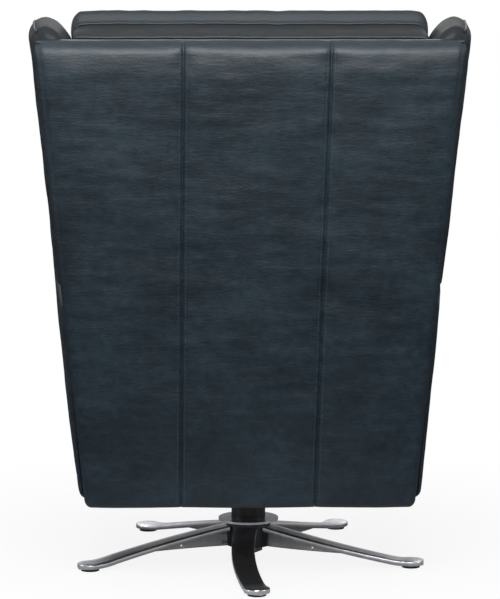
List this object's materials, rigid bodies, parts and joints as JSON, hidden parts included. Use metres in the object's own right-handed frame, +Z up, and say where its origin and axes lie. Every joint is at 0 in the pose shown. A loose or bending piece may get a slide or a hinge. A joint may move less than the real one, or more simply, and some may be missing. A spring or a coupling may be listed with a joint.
{
  "type": "swivel recliner",
  "caption": "Leather push-back recliner with a tall winged back, tilting headrest and flip-out footrest, turning on a polished star base.",
  "frame": {"origin": "on the floor, on the swivel axis under the middle of the chair", "axes": "+Z up, the sitter faces -Y, +X to the sitter's left"},
  "size_m": [0.7794, 0.8341, 1.0476],
  "materials": {
    "polished_aluminium": "cast and hand polished",
    "hub_casting": "as cast, satin",
    "zinc_steel": "zinc plated",
    "black_steel": "satin black powder coat",
    "black_plastic": "moulded, matte",
    "bearing_plastic": "moulded, smooth",
    "frame_wood": "sawn and planed",
    "leather": "dark blue-black pull-up leather, semi-gloss",
    "foam": "cut polyurethane foam"
  },
  "bodies": {
    "root": {"star_leg_1": "polished_aluminium", "star_leg_2": "polished_aluminium", "star_leg_3": "polished_aluminium", "star_leg_4": "polished_aluminium", "star_leg_5": "polished_aluminium", "hub_core": "hub_casting", "leg_bolts": "zinc_steel", "foot_glides": "black_plastic", "hub_disc": "polished_aluminium", "spindle_post": "zinc_steel", "spindle_foot_nut": "zinc_steel", "thrust_bearing": "bearing_plastic", "spindle_top_nut": "zinc_steel"},
    "seat": {"swivel_sleeve": "black_steel", "sleeve_bushes": "bearing_plastic", "mount_plate": "black_steel", "mount_bolts": "zinc_steel", "seat_chassis": "black_steel", "seat_frame_boards": "frame_wood", "seat_springs": "zinc_steel", "seat_cushion": "leather", "seat_foam": "foam", "arm_frame_left": "frame_wood", "arm_frame_right": "frame_wood", "arm_cover_left": "leather", "arm_cover_right": "leather", "arm_foams": "foam", "footrest_pins": "zinc_steel", "pivot_plates": "black_steel", "recline_pins": "zinc_steel", "lever_bezel": "zinc_steel"},
    "back": {"recline_bushes": "bearing_plastic", "recline_plates": "black_steel", "back_posts": "frame_wood", "back_rails": "frame_wood", "back_board": "frame_wood", "back_top_roll": "leather", "back_springs": "zinc_steel", "outer_back": "leather", "outer_back_foam": "foam", "wing_cover_left": "leather", "wing_cover_right": "leather", "wing_foams": "foam", "back_cushion": "leather", "back_foam": "foam", "headrest_hinges": "black_steel", "headrest_pins": "zinc_steel", "gas_bracket": "black_steel"},
    "gas_cylinder": {"gas_cylinder": "black_steel"},
    "gas_rod": {"gas_rod": "zinc_steel"},
    "headrest": {"headrest_plate": "black_steel", "headrest_cushion": "leather", "headrest_foam": "foam"},
    "footrest": {"footrest_pad": "leather", "footrest_board": "frame_wood", "footrest_plates": "black_steel", "toe_hinge_pin": "zinc_steel"},
    "toe": {"toe_board": "frame_wood", "toe_pad": "leather"},
    "lever": {"release_lever": "black_plastic"}
  },
  "joints": [
    {"name": "swivel", "type": "hinge", "parent": "root", "child": "seat", "pos_m": [0, 0, 0.262], "axis": [0, 0, 1], "continuous": true},
    {"name": "recline", "type": "hinge", "parent": "seat", "child": "back", "pos_m": [0, 0.247, 0.18], "axis": [-1, 0, 0], "range_deg": [0, 28]},
    {"name": "headrest_tilt", "type": "hinge", "parent": "back", "child": "headrest", "pos_m": [0, 0.23195, 0.89095], "axis": [1, 0, 0], "range_deg": [0, 30]},
    {"name": "footrest_swing", "type": "hinge", "parent": "seat", "child": "footrest", "pos_m": [0, -0.384, 0.346], "axis": [-1, 0, 0], "range_deg": [0, 100]},
    {"name": "toe_fold", "type": "hinge", "parent": "footrest", "child": "toe", "pos_m": [0, -0.354, 0.174], "axis": [-1, 0, 0], "range_deg": [0, 180]},
    {"name": "gas_swing", "type": "hinge", "parent": "seat", "child": "gas_cylinder", "pos_m": [-0.15, -0.06, 0.2], "axis": [1, 0, 0], "range_deg": [-1, 0]},
    {"name": "gas_stroke", "type": "slide", "parent": "gas_cylinder", "child": "gas_rod", "axis": [0, 0.9781, 0.2081], "range_m": [0, 0.042]},
    {"name": "release", "type": "hinge", "parent": "seat", "child": "lever", "pos_m": [-0.247, -0.25, 0.522], "axis": [-1, 0, 0], "range_deg": [0, 25], "stiffness_Nm_per_rad": 0.6, "springref_deg": -8.59}
  ],
  "couplings": [
    {"joint": "toe_fold", "follows": "footrest_swing", "ratio": 1.8},
    {"joint": "gas_swing", "follows": "recline", "ratio": -0.03},
    {"joint": "gas_stroke", "follows": "recline", "m_per_rad": 0.08363}
  ]
}
